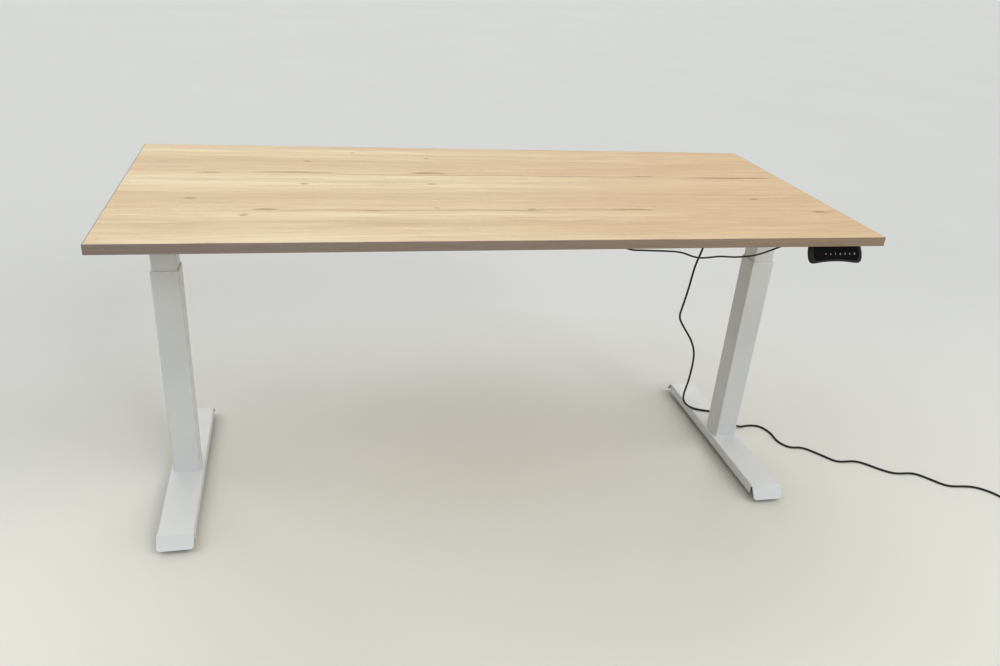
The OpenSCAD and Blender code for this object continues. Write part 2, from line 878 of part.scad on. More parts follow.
key(5);  // key_4
key(6);  // key_memory
handset_cable();
cable_clips();
wood_screws();
frame_screws();
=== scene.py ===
"""Looks of the height adjustable standing desk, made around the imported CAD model.
Metres, +Z up, front is -Y, origin on the floor under the middle of the top."""
import json
import math

import bmesh
import bpy
from mathutils import Matrix, Vector


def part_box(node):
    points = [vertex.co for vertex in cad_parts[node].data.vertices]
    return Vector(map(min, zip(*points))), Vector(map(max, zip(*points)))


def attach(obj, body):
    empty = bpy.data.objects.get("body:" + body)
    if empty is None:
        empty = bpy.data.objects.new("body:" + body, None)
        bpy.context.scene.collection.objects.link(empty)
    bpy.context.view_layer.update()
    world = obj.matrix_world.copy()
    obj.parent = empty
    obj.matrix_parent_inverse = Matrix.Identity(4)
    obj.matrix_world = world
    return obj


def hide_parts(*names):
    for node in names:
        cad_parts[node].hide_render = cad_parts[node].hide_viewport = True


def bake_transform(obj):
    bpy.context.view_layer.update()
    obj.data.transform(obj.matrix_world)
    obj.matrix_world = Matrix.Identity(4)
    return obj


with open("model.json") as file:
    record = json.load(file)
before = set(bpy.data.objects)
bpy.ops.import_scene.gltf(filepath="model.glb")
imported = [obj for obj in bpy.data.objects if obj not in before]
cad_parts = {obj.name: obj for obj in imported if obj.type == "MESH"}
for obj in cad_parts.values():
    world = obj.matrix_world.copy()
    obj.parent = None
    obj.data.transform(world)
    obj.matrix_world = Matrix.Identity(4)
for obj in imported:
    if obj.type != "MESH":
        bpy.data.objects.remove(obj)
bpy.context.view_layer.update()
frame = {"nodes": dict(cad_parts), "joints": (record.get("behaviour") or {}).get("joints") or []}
NODES = frame["nodes"]

MM = 0.001
TOP_LOW, TOP_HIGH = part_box("tabletop")
UNDER = TOP_LOW.z


# ---- camera, light and floor ----

def make_camera():
    """Camera above the left half of the desk, looking down to the right and rolled a little."""
    data = bpy.data.cameras.new("camera")
    data.sensor_width = 36
    data.lens = 29.98
    camera = bpy.data.objects.new("camera", data)
    turn, tilt, roll = (math.radians(a) for a in (-14.43, -26.06, -4.48))
    camera.matrix_world = (
        Matrix.Translation((-0.4738, -2.0612, 1.4573))
        @ Matrix.Rotation(turn, 4, "Z")
        @ Matrix.Rotation(tilt, 4, "X")
        @ Matrix.Rotation(roll, 4, "Y")
        @ Matrix.Rotation(math.radians(90), 4, "X")
    )
    bpy.context.collection.objects.link(camera)
    bpy.context.scene.camera = camera


def add_sun(name, place, colour, strength, spread):
    """A soft sun from place towards the middle of the desk, in watts per square metre, spread in degrees."""
    data = bpy.data.lights.new(name, "SUN")
    data.energy = strength
    data.color = colour
    data.angle = math.radians(spread)
    light = bpy.data.objects.new(name, data)
    light.visible_camera = False
    light.visible_glossy = False
    light.location = place
    light.rotation_euler = (Vector((0, 0, 0.5)) - Vector(place)).to_track_quat("-Z", "Y").to_euler()
    bpy.context.collection.objects.link(light)


def make_light():
    """Wide soft suns, and a pale sky that lights little but shows in reflections."""
    sky_seen, sky_lighting = 0.66, 0.11
    world = bpy.data.worlds.new("studio")
    world.use_nodes = True
    nodes, links = world.node_tree.nodes, world.node_tree.links
    path = nodes.new("ShaderNodeLightPath")
    strength = nodes.new("ShaderNodeMath")
    strength.operation = "MULTIPLY_ADD"
    strength.inputs[1].default_value = sky_lighting - sky_seen
    strength.inputs[2].default_value = sky_seen
    links.new(path.outputs["Is Diffuse Ray"], strength.inputs[0])
    links.new(strength.outputs["Value"], nodes["Background"].inputs["Strength"])
    nodes["Background"].inputs["Color"].default_value = (0.96, 0.98, 1.0, 1)
    bpy.context.scene.world = world
    bpy.context.scene.view_settings.view_transform = "Standard"
    bpy.context.scene.view_settings.gamma = 0.8
    warm, plain, cool = (1.0, 0.975, 0.93), (1.0, 0.99, 0.975), (0.95, 0.985, 1.0)
    add_sun("sky_right", (7.5, -3.5, 6.0), plain, 1.24, 55)
    add_sun("sky_above", (-1.5, -1.0, 8.0), cool, 0.99, 75)
    add_sun("sky_left", (-8.0, 0.0, 5.0), cool, 0.70, 60)
    add_sun("sky_back", (0.0, 8.0, 6.5), warm, 1.15, 60)
    add_sun("sky_front", (2.2, -5.0, 3.2), cool, 0.64, 20)


# ---- small tools for node materials ----

class Shade:
    """A Principled material and short names for the nodes that feed it."""

    def __init__(self, name, **sockets):
        self.material = bpy.data.materials.new(name)
        self.material.use_nodes = True
        self.tree = self.material.node_tree
        self.shader = self.tree.nodes["Principled BSDF"]
        for socket, value in sockets.items():
            self.shader.inputs[socket.replace("_", " ")].default_value = value
        self.place = self.add("ShaderNodeTexCoord").outputs["Object"]

    def add(self, kind, inputs=None, **settings):
        node = self.tree.nodes.new(kind)
        for key, value in settings.items():
            setattr(node, key, value)
        for key, value in (inputs or {}).items():
            if isinstance(value, bpy.types.NodeSocket):
                self.tree.links.new(value, node.inputs[key])
            else:
                node.inputs[key].default_value = value
        return node

    def stretched(self, x, y, z, source=None):
        scaled = self.add(
            "ShaderNodeVectorMath", {0: source or self.place, 1: (x, y, z)}, operation="MULTIPLY"
        )
        return scaled.outputs["Vector"]

    def noise(self, vector, scale=1.0, detail=4.0, rough=0.5, twist=0.0):
        inputs = {"Vector": vector, "Scale": scale, "Detail": detail, "Roughness": rough, "Distortion": twist}
        return self.add("ShaderNodeTexNoise", inputs).outputs["Fac"]

    def maths(self, operation, a, b=0.0, c=0.0, clamp=False):
        node = self.add("ShaderNodeMath", {0: a, 1: b, 2: c}, operation=operation)
        node.use_clamp = clamp
        return node.outputs["Value"]

    def ramp(self, value, stops, smooth=False):
        """stops are (place, colour or grey) pairs."""
        node = self.add("ShaderNodeValToRGB", {"Fac": value})
        ramp = node.color_ramp
        ramp.interpolation = "EASE" if smooth else "LINEAR"
        while len(ramp.elements) < len(stops):
            ramp.elements.new(0.5)
        for element, (place, colour) in zip(ramp.elements, stops):
            element.position = place
            shade = (colour, colour, colour) if isinstance(colour, (int, float)) else colour
            element.color = (*shade, 1)
        return node.outputs["Color"]

    def mix(self, share, a, b):
        node = self.add("ShaderNodeMix", data_type="RGBA")
        for socket, value in zip((node.inputs[0], node.inputs[6], node.inputs[7]), (share, a, b)):
            if isinstance(value, bpy.types.NodeSocket):
                self.tree.links.new(value, socket)
            else:
                socket.default_value = value if isinstance(value, (int, float)) else (*value, 1)
        return node.outputs[2]

    def feed(self, socket, value):
        self.tree.links.new(value, self.shader.inputs[socket])

    def bump(self, height, distance, strength=1.0):
        inputs = {"Height": height, "Distance": distance, "Strength": strength}
        return self.add("ShaderNodeBump", inputs).outputs["Normal"]


# ---- materials ----

# Marks in the decor of the top, in metres. A knot is (x, y, radius), a streak is (from x, to x, y, strength).
KNOTS = [
    (-0.460, 0.238, 0.009), (-0.334, 0.335, 0.005), (-0.130, 0.281, 0.006), (-0.471, 0.024, 0.008),
    (-0.471, 0.069, 0.004), (-0.149, 0.027, 0.008), (-0.731, -0.097, 0.009), (-0.606, -0.219, 0.008),
    (0.066, -0.184, 0.009), (0.708, -0.093, 0.009), (0.838, -0.203, 0.012), (-0.168, -0.170, 0.004),
]
KNOT_WIDTH_TO_LENGTH = 0.58
STREAK_HALF_WIDTH = 0.016
STREAKS = [
    (-0.90, -0.79, 0.096, 0.5), (-0.77, -0.63, 0.113, 0.8), (-0.68, -0.30, 0.122, 0.86),
    (-0.22, -0.07, 0.130, 1.0), (-0.02, 0.10, 0.128, 0.6), (0.37, 0.56, 0.113, 0.8),
    (0.50, 0.98, 0.101, 1.0), (-0.61, -0.51, -0.181, 0.9), (-0.37, -0.26, -0.192, 0.8),
    (0.20, 0.44, -0.189, 0.9), (0.69, 0.76, -0.219, 0.6), (0.80, 0.92, -0.203, 0.7),
    (-0.73, -0.67, -0.221, 0.6), (-0.52, -0.44, -0.138, 0.5), (0.52, 0.59, -0.228, 0.4),
    (-0.06, -0.02, -0.174, 0.4), (-1.30, 1.30, 0.112, 0.74), (-1.30, 1.30, -0.192, 0.70),
]


def near_knots(s, place):
    """How far inside the nearest knot a point is, and how far inside its halo, both from 0 to 1."""
    core = halo = 0.0
    for x, y, radius in KNOTS:
        offset = s.add("ShaderNodeVectorMath", {0: place, 1: (x, y, 0)}, operation="SUBTRACT")
        flat = s.stretched(KNOT_WIDTH_TO_LENGTH / radius, 1 / radius, 0, offset.outputs["Vector"])
        far = s.add("ShaderNodeVectorMath", {0: flat}, operation="LENGTH").outputs["Value"]
        core = s.maths("MAXIMUM", core, s.maths("SUBTRACT", 1.0, far, clamp=True))
        fading = s.maths("DIVIDE", 1.0, s.maths("ADD", 1.0, s.maths("POWER", far, 2.4)))
        halo = s.maths("MAXIMUM", halo, fading)
    return core, halo


def on_streaks(s, x, across):
    """How near a point is to the middle of a dark streak, from 0 to 1."""
    most = 0.0
    for start, end, y, strength in STREAKS:
        along = s.maths("MULTIPLY_ADD", x, 2 / (end - start), -(start + end) / (end - start))
        fade = s.maths("SUBTRACT", 1.0, s.maths("MULTIPLY", along, along), clamp=True)
        off = s.maths("ABSOLUTE", s.maths("SUBTRACT", across, y))
        near = s.maths("SUBTRACT", 1.0, s.maths("DIVIDE", off, STREAK_HALF_WIDTH), clamp=True)
        most = s.maths("MAXIMUM", most, s.maths("MULTIPLY", s.maths("MULTIPLY", near, fade), strength))
    return most


def oak_decor():
    """Light knotty oak, its grain along X, in wide staves with dark streaks along two of their joints."""
    s = Shade("oak_decor_looks", Roughness=0.42, Specular_IOR_Level=0.4)
    x, y, z = s.add("ShaderNodeSeparateXYZ", {"Vector": s.place}).outputs

    # the grain wanders, and opens round each knot
    rough_place = s.add("ShaderNodeVectorMath", {
        0: s.add("ShaderNodeTexNoise", {"Vector": s.place, "Scale": 75.0, "Detail": 3.0}).outputs["Color"],
        1: (0.011, 0.007, 0.0), 2: s.place,
    }, operation="MULTIPLY_ADD").outputs["Vector"]
    centred = s.add("ShaderNodeVectorMath", {0: rough_place, 1: (0.0055, 0.0035, 0)}, operation="SUBTRACT")
    core, halo = near_knots(s, centred.outputs["Vector"])
    wander = s.noise(s.stretched(1.3, 2.6, 1.0), 1.0, 3.0)
    ripple = s.noise(s.stretched(9.0, 14.0, 4.0), 1.0, 2.0)
    across = s.maths("MULTIPLY_ADD", s.maths("SUBTRACT", wander, 0.5), 0.05, y)
    across = s.maths("MULTIPLY_ADD", s.maths("SUBTRACT", ripple, 0.5), 0.012, across)
    across = s.maths("MULTIPLY_ADD", halo, 0.010, across)
    grain = s.add("ShaderNodeCombineXYZ", {"X": x, "Y": across, "Z": z}).outputs["Vector"]

    # staves, from the front edge to the rear edge
    depth = TOP_HIGH.y - TOP_LOW.y
    share = s.maths("DIVIDE", s.maths("SUBTRACT", across, TOP_LOW.y), depth)
    pale, honey = (0.91, 0.79, 0.575), (0.87, 0.72, 0.50)
    tan, rose = (0.775, 0.62, 0.435), (0.83, 0.665, 0.48)
    staves = s.ramp(share, [
        (0.0, pale), (0.09, honey), (0.14, tan), (0.22, pale), (0.275, honey), (0.295, rose), (0.43, tan),
        (0.465, honey), (0.52, pale), (0.635, pale), (0.66, rose), (0.80, tan), (0.85, honey), (0.93, pale),
        (1.0, tan),
    ])

    # the left end is painted paler than the right end: painted light, as if more light falls on the left,
    # broken up by random patches
    patches = s.noise(s.stretched(1.5, 4.0, 1.0), 1.0, 2.0)
    painted_light_drift = s.maths("MULTIPLY_ADD", patches, 0.35, s.maths("MULTIPLY", x, 0.5))
    # painted light: the mix moves the colour towards a darker honey brown towards the right end
    staves = s.mix(s.ramp(painted_light_drift, [(0.0, 0.0), (0.6, 0.8)], smooth=True), staves, (0.755, 0.555, 0.352))

    # broad figure like the rings of a plain-sawn board, then narrow figure, light rays, fibres and pores
    hill = s.noise(s.stretched(0.9, 7.5, 1.0, grain), 1.0, 1.5, 0.4)
    rings = s.maths("PINGPONG", s.maths("MULTIPLY", hill, 26.0), 1.0)
    broad = s.ramp(s.noise(s.stretched(1.7, 5.0, 1.0), 1.0, 2.0), [(0.46, 0.0), (0.62, 0.3)])
    dark_rings = s.maths("MULTIPLY", s.ramp(rings, [(0.55, 0.0), (1.0, 1.0)]), broad)
    colour = s.mix(dark_rings, staves, (0.66, 0.465, 0.29))
    figure = s.noise(s.stretched(2.2, 34.0, 6.0, grain), 1.0, 6.0, 0.62, 0.35)
    colour = s.mix(s.ramp(figure, [(0.40, 0.0), (0.70, 0.44)]), colour, (0.62, 0.42, 0.255))
    narrow = s.noise(s.stretched(5.0, 150.0, 12.0, grain), 1.0, 5.0, 0.6, 0.2)
    colour = s.mix(s.ramp(narrow, [(0.50, 0.0), (0.72, 0.34)]), colour, (0.52, 0.345, 0.205))
    light = s.noise(s.stretched(3.4, 70.0, 9.0, grain), 1.0, 4.0, 0.6)
    colour = s.mix(s.ramp(light, [(0.50, 0.0), (0.72, 0.42)]), colour, (0.93, 0.80, 0.58))
    fibres = s.noise(s.stretched(22.0, 900.0, 60.0, grain), 1.0, 3.0, 0.6)
    colour = s.mix(s.ramp(fibres, [(0.3, 0.2), (0.62, 0.0)]), colour, (0.50, 0.34, 0.20))
    pores = s.noise(s.stretched(70.0, 1500.0, 90.0, grain), 1.0, 1.5, 0.5)
    pits = s.ramp(pores, [(0.60, 0.0), (0.68, 1.0)])
    patchy = s.ramp(s.noise(s.stretched(3.0, 26.0, 5.0, grain), 1.0, 2.0), [(0.42, 0.0), (0.6, 0.5)])
    colour = s.mix(s.maths("MULTIPLY", pits, patchy), colour, (0.38, 0.25, 0.145))

    # dark streaks, soft at their sides and broken along their length
    broken = s.ramp(s.noise(s.stretched(26.0, 160.0, 20.0), 1.0, 4.0, 0.65), [(0.36, 0.0), (0.58, 1.0)])
    soft = on_streaks(s, x, across)
    colour = s.mix(s.maths("MULTIPLY", s.maths("MULTIPLY", soft, soft), 0.6), colour, (0.60, 0.38, 0.21))
    unbroken = s.maths("MULTIPLY_ADD", broken, 0.62, 0.38)
    thin = s.maths("MULTIPLY", s.ramp(soft, [(0.50, 0.0), (0.80, 0.9)]), unbroken)
    colour = s.mix(thin, colour, (0.36, 0.20, 0.095))

    # knots: a mottled halo, a brown core and cracks in it
    mottled = s.ramp(s.noise(s.stretched(150.0, 420.0, 90.0), 1.0, 4.0, 0.7), [(0.40, 0.25), (0.62, 1.0)])
    shade = s.maths("MULTIPLY", s.ramp(halo, [(0.22, 0.0), (0.80, 0.42)]), mottled)
    colour = s.mix(shade, colour, (0.62, 0.42, 0.25))
    brown = s.maths("MULTIPLY", s.ramp(core, [(0.05, 0.0), (0.60, 0.52)]), mottled)
    colour = s.mix(brown, colour, (0.46, 0.285, 0.155))
    cracks = s.ramp(s.noise(s.stretched(120.0, 700.0, 90.0), 1.0, 3.0, 0.6), [(0.52, 0.0), (0.58, 0.8)])
    split = s.maths("MULTIPLY", s.ramp(core, [(0.10, 0.0), (0.35, 1.0)]), cracks)
    colour = s.mix(split, colour, (0.20, 0.115, 0.06))
    s.feed("Base Color", colour)

    s.feed("Roughness", s.ramp(fibres, [(0.25, 0.50), (0.75, 0.38)]))
    relief = s.maths("SUBTRACT", s.maths("MULTIPLY", fibres, 0.5), s.maths("MULTIPLY", pits, 0.5))
    s.feed("Normal", s.bump(relief, 0.00012, 0.6))
    return s.material


def oak_edging():
    """Darker banding with a fine grain along the edge, with painted light: darker and greyer at its left end,
    warmer at its right.
    """
    s = Shade("oak_edging_looks", Roughness=0.5, Specular_IOR_Level=0.35)
    broad = s.noise(s.stretched(2.0, 2.0, 120.0), 1.0, 5.0, 0.6)
    x = s.add("ShaderNodeSeparateXYZ", {"Vector": s.place}).outputs["X"]
    # painted light: the banding's colour shifts from a darker grey-purple at the left end to a warmer brown
    # at the right end, as light falls on it
    painted_light_rightward = s.maths("MULTIPLY_ADD", x, 0.55, 0.5, clamp=True)
    dark = s.mix(painted_light_rightward, (0.30, 0.255, 0.24), (0.365, 0.278, 0.203))
    light = s.mix(painted_light_rightward, (0.43, 0.362, 0.325), (0.54, 0.415, 0.298))
    colour = s.mix(broad, dark, light)
    fine = s.noise(s.stretched(12.0, 12.0, 900.0), 1.0, 4.0, 0.65)
    colour = s.mix(s.ramp(fine, [(0.42, 0.0), (0.72, 0.55)]), colour, (0.225, 0.17, 0.135))
    s.feed("Base Color", colour)
    s.feed("Normal", s.bump(fine, 0.0001, 0.5))
    return s.material


def powder_coat(name, colour, rough=0.36):
    """Satin powder coat with a fine orange peel."""
    s = Shade(name, Roughness=rough, Specular_IOR_Level=0.5)
    cloud = s.noise(s.place, 5.0, 3.0)
    deep = tuple(c * 0.955 for c in colour)
    s.feed("Base Color", s.mix(s.ramp(cloud, [(0.35, 0.0), (0.65, 1.0)]), colour, deep))
    peel = s.noise(s.place, 620.0, 2.0, 0.4)
    s.feed("Roughness", s.ramp(s.noise(s.place, 38.0, 3.0), [(0.3, rough - 0.05), (0.7, rough + 0.07)]))
    s.feed("Normal", s.bump(peel, 0.00022, 0.55))
    return s.material


def moulded_plastic(name, colour, rough, grain=1400.0, depth=0.00008):
    """Moulded plastic with an eroded mould texture and a little wear in its gloss."""
    s = Shade(name, Roughness=rough, Specular_IOR_Level=0.45)
    lighter = tuple(min(1.0, c * 1.35 + 0.004) for c in colour)
    patches = s.ramp(s.noise(s.place, 60.0, 4.0), [(0.35, 0.0), (0.75, 0.6)])
    s.feed("Base Color", s.mix(patches, colour, lighter))
    s.feed("Roughness", s.ramp(s.noise(s.place, 110.0, 3.0), [(0.3, rough - 0.06), (0.7, rough + 0.08)]))
    s.feed("Normal", s.bump(s.noise(s.place, grain, 2.0, 0.5), depth, 0.7))
    return s.material


def metal(name, colour, rough, stretch=(1.0, 1.0, 1.0), scale=260.0, depth=0.00005):
    """Bare or plated metal. Stretch draws its marks out along an axis."""
    s = Shade(name, Roughness=rough, Metallic=1.0)
    marks = s.noise(s.stretched(*stretch), scale, 4.0, 0.6)
    dull = tuple(c * 0.78 for c in colour)
    s.feed("Base Color", s.mix(s.ramp(marks, [(0.3, 0.7), (0.7, 0.0)]), colour, dull))
    s.feed("Roughness", s.ramp(marks, [(0.3, rough + 0.12), (0.7, rough - 0.06)]))
    s.feed("Normal", s.bump(marks, depth, 0.6))
    return s.material


def cord_rubber():
    """Black cord sheath, matt with a faint bloom of dust."""
    s = Shade("cord_rubber_looks", Roughness=0.46, Specular_IOR_Level=0.45)
    dust = s.ramp(s.noise(s.place, 34.0, 5.0, 0.6), [(0.45, 0.0), (0.8, 0.35)])
    s.feed("Base Color", s.mix(dust, (0.032, 0.032, 0.035), (0.075, 0.073, 0.074)))
    s.feed("Roughness", s.ramp(s.noise(s.place, 90.0, 3.0), [(0.3, 0.38), (0.7, 0.55)]))
    s.feed("Normal", s.bump(s.noise(s.place, 1600.0, 2.0), 0.00006, 0.6))
    return s.material


def gloss_black(name, rough, colour=(0.004, 0.004, 0.005)):
    """Polished black plastic with a few faint rubs."""
    s = Shade(name, Roughness=rough, Specular_IOR_Level=0.22)
    rubs = s.ramp(s.noise(s.stretched(30.0, 30.0, 140.0), 1.0, 4.0, 0.7), [(0.55, 0.0), (0.8, 1.0)])
    s.feed("Base Color", s.mix(s.maths("MULTIPLY", rubs, 0.3), colour, (0.03, 0.03, 0.034)))
    s.feed("Roughness", s.ramp(rubs, [(0.0, rough), (1.0, rough + 0.14)]))
    s.feed("Normal", s.bump(s.noise(s.place, 700.0, 2.0), 0.00002, 0.4))
    return s.material


def key_print():
    """Pale print on the keys, a little worn."""
    s = Shade("key_print_looks", Roughness=0.5)
    worn = s.ramp(s.noise(s.place, 1800.0, 3.0), [(0.55, 0.0), (0.8, 0.4)])
    s.feed("Base Color", s.mix(worn, (0.78, 0.79, 0.77), (0.45, 0.46, 0.46)))
    s.feed("Normal", s.bump(s.noise(s.place, 2600.0, 2.0), 0.00002, 0.5))
    return s.material


def circuit_board():
    """Green solder mask over a faint net of tracks."""
    s = Shade("circuit_board_looks", Roughness=0.38, Specular_IOR_Level=0.5)
    brick = s.add("ShaderNodeTexBrick", {
        "Vector": s.place, "Scale": 120.0, "Mortar Size": 0.06, "Bias": 0.0,
        "Brick Width": 0.9, "Row Height": 0.35,
        "Color1": (0.018, 0.115, 0.045, 1), "Color2": (0.026, 0.145, 0.060, 1),
        "Mortar": (0.05, 0.24, 0.10, 1),
    })
    s.feed("Base Color", brick.outputs["Color"])
    s.feed("Roughness", s.ramp(s.noise(s.place, 300.0), [(0.3, 0.3), (0.7, 0.5)]))
    s.feed("Normal", s.bump(brick.outputs["Fac"], 0.00003, 0.5))
    return s.material


WHITE = (0.80, 0.815, 0.82)
WINDOW_LOOKS = gloss_black("display_window_looks", 0.05, (0.012, 0.004, 0.004))
LOOKS = {
    "oak_decor": oak_decor(),
    "oak_edging": oak_edging(),
    "white_powder_coat": powder_coat("white_powder_coat_looks", WHITE),
    "white_plastic": moulded_plastic("white_plastic_looks", (0.76, 0.77, 0.76), 0.42),
    "die_cast": metal("die_cast_looks", (0.62, 0.63, 0.65), 0.48, scale=900.0, depth=0.00012),
    "motor_steel": metal("motor_steel_looks", (0.50, 0.51, 0.53), 0.38, (0.15, 1.0, 1.0)),
    "bright_steel": metal("bright_steel_looks", (0.72, 0.72, 0.73), 0.22, (1.0, 1.0, 0.1)),
    "zinc_steel": metal("zinc_steel_looks", (0.66, 0.68, 0.70), 0.33, scale=420.0),
    "nut_plastic": moulded_plastic("nut_plastic_looks", (0.50, 0.49, 0.44), 0.5),
    "black_plastic": moulded_plastic("black_plastic_looks", (0.026, 0.024, 0.028), 0.42),
    "glide_rubber": moulded_plastic("glide_rubber_looks", (0.030, 0.030, 0.032), 0.62, 900.0, 0.00012),
    "circuit_board": circuit_board(),
    "cord_rubber": cord_rubber(),
    "fascia_gloss": gloss_black("fascia_gloss_looks", 0.10),
    "key_gloss": gloss_black("key_gloss_looks", 0.22, (0.014, 0.014, 0.016)),
    "key_print": key_print(),
    "plug_metal": metal("plug_metal_looks", (0.78, 0.72, 0.58), 0.25, scale=500.0),
}


def stage_looks():
    """Pale floor with painted light: brighter towards the front and painted shade towards the back. It throws
    less light back onto the desk than it shows.
    """
    s = Shade("stage_looks", Roughness=0.62, Specular_IOR_Level=0.3)
    y = s.add("ShaderNodeSeparateXYZ", {"Vector": s.place}).outputs["Y"]
    # painted light and shade: the floor's colour is painted darker the further back it lies
    painted_shade_backward = s.maths("MULTIPLY_ADD", y, 0.40, 0.50, clamp=True)
    colour = s.ramp(painted_shade_backward, [
        (0.0, (0.85, 0.84, 0.785)), (0.42, (0.79, 0.785, 0.74)), (1.0, (0.705, 0.705, 0.69)),
    ])
    cloud = s.ramp(s.noise(s.place, 0.8, 3.0), [(0.35, 0.0), (0.65, 0.03)])
    bounce = s.maths("MULTIPLY_ADD", s.add("ShaderNodeLightPath").outputs["Is Diffuse Ray"], 0.33, cloud)
    s.feed("Base Color", s.mix(bounce, colour, (0.30, 0.28, 0.24)))
    return s.material


def make_floor():
    """A wide round floor."""
    reach = 60.0
    sides = 96
    points = circle(Vector((0, 0, 0)), Vector((1, 0, 0)), Vector((0, 1, 0)), reach, sides)
    mesh = bpy.data.meshes.new("floor")
    mesh.from_pydata(points, [], [list(range(sides))])
    mesh.materials.append(stage_looks())
    floor = bpy.data.objects.new("floor", mesh)
    bpy.context.collection.objects.link(floor)


# Widths of the small roundings on the edges of CAD nodes, in mm
SOFT_EDGES = {
    "tabletop": 0.25, "edge_bands_long": 0.35, "edge_bands_short": 0.35,
    "left_foot": 0.5, "right_foot": 0.5, "left_outer_tube": 0.6, "right_outer_tube": 0.6,
    "left_inner_tube": 0.5, "right_inner_tube": 0.5, "left_column_head": 0.7, "right_column_head": 0.7,
    "left_side_bracket": 0.7, "right_side_bracket": 0.7, "front_rail_outer": 0.5, "front_rail_inner": 0.4,
    "rear_rail_outer": 0.5, "rear_rail_inner": 0.4, "left_gearbox": 1.2, "right_gearbox": 1.2,
    "left_motor": 0.6, "right_motor": 0.6, "left_outer_collar": 0.5, "right_outer_collar": 0.5,
    "control_box_base": 0.5, "control_box_cover": 1.6, "mains_connector": 1.0, "cable_clips": 0.4,
    "glide_left_front": 0.6, "glide_left_rear": 0.6, "glide_right_front": 0.6, "glide_right_rear": 0.6,
    "wood_screws": 0.25, "frame_screws": 0.3, "left_foot_bolts": 0.3, "right_foot_bolts": 0.3,
}


def dress_cad_nodes():
    """Every CAD node that stays gets the finished material of its slot, and sharp ones get soft edges."""
    for name, obj in NODES.items():
        for place in obj.material_slots:
            place.material = LOOKS[place.material.name.split(".")[0]]
        if name in SOFT_EDGES:
            weld = obj.modifiers.new("join_faces", "WELD")
            weld.merge_threshold = 0.002 * MM
            bevel = obj.modifiers.new("soft_edges", "BEVEL")
            bevel.width = SOFT_EDGES[name] * MM
            bevel.segments = 2
            bevel.limit_method = "ANGLE"
            bevel.angle_limit = math.radians(38)
            bevel.harden_normals = True


# ---- shapes ----

def finish_piece(mesh, work, slot_name, sharp):
    """Link the mesh with the bmesh's shape, smooth up to the sharp angle, with the look of a record slot."""
    bmesh.ops.recalc_face_normals(work, faces=work.faces)
    work.to_mesh(mesh)
    work.free()
    mesh.shade_smooth()
    mesh.set_sharp_from_angle(angle=math.radians(sharp))
    mesh.materials.append(LOOKS[slot_name])
    obj = bpy.data.objects.new(mesh.name, mesh)
    bpy.context.collection.objects.link(obj)
    return obj


def new_piece(name, points, faces, slot_name, sharp=40.0):
    """A piece of the builder's own, from points and faces."""
    mesh = bpy.data.meshes.new(name)
    mesh.from_pydata([tuple(p) for p in points], [], faces)
    mesh.update()
    work = bmesh.new()
    work.from_mesh(mesh)
    return finish_piece(mesh, work, slot_name, sharp)


def circle(centre, side, up, radius, sides):
    """Points of a circle round centre, from side towards up."""
    return [
        centre + radius * (math.cos(math.tau * k / sides) * side + math.sin(math.tau * k / sides) * up)
        for k in range(sides)
    ]


def loft(rings, caps=(True, True)):
    """Points and faces of a skin over closed rings that have the same number of points."""
    sides = len(rings[0])
    points = [p for ring in rings for p in ring]
    faces = []
    for i in range(len(rings) - 1):
        for k in range(sides):
            after = (k + 1) % sides
            faces.append([i * sides + k, i * sides + after, (i + 1) * sides + after, (i + 1) * sides + k])
    if caps[0]:
        faces.append(list(range(sides - 1, -1, -1)))
    if caps[1]:
        last = (len(rings) - 1) * sides
        faces.append(list(range(last, last + sides)))
    return points, faces


def smooth_route(route, step=None, cuts_each=6):
    """A curve through the route's points, cut at about every step, or into the same number of cuts a span."""
    points = [Vector(p) for p in route]
    before = points[0] * 2 - points[1]
    beyond = points[-1] * 2 - points[-2]
    around = [before, *points, beyond]
    curve = []
    for i in range(1, len(around) - 2):
        p0, p1, p2, p3 = around[i - 1 : i + 3]
        spans = [math.sqrt(max((b - a).length, 1e-6)) for a, b in ((p0, p1), (p1, p2), (p2, p3))]
        leave = ((p1 - p0) / spans[0] - (p2 - p0) / (spans[0] + spans[1]) + (p2 - p1) / spans[1]) * spans[1]
        arrive = ((p2 - p1) / spans[1] - (p3 - p1) / (spans[1] + spans[2]) + (p3 - p2) / spans[2]) * spans[1]
        cuts = max(2, round((p2 - p1).length / step)) if step else cuts_each
        for k in range(cuts):
            t = k / cuts
            curve.append(
                p1 * (2 * t**3 - 3 * t**2 + 1) + leave * (t**3 - 2 * t**2 + t)
                + p2 * (3 * t**2 - 2 * t**3) + arrive * (t**3 - t**2)
            )
    curve.append(points[-1])
    return curve


def tube_rings(path, radius, sides=14):
    """Rings round a path, turned as little as possible from one to the next. radius is a number or a function
    of the share of the path."""
    rings = []
    side = Vector((0.0, 0.3, 1.0))
    for i, point in enumerate(path):
        ahead = (path[min(i + 1, len(path) - 1)] - path[max(i - 1, 0)]).normalized()
        side = (side - ahead * side.dot(ahead)).normalized()
        other = ahead.cross(side)
        r = radius(i / (len(path) - 1)) if callable(radius) else radius
        rings.append(circle(point, side, other, r, sides))
    return rings


# ---- cords ----

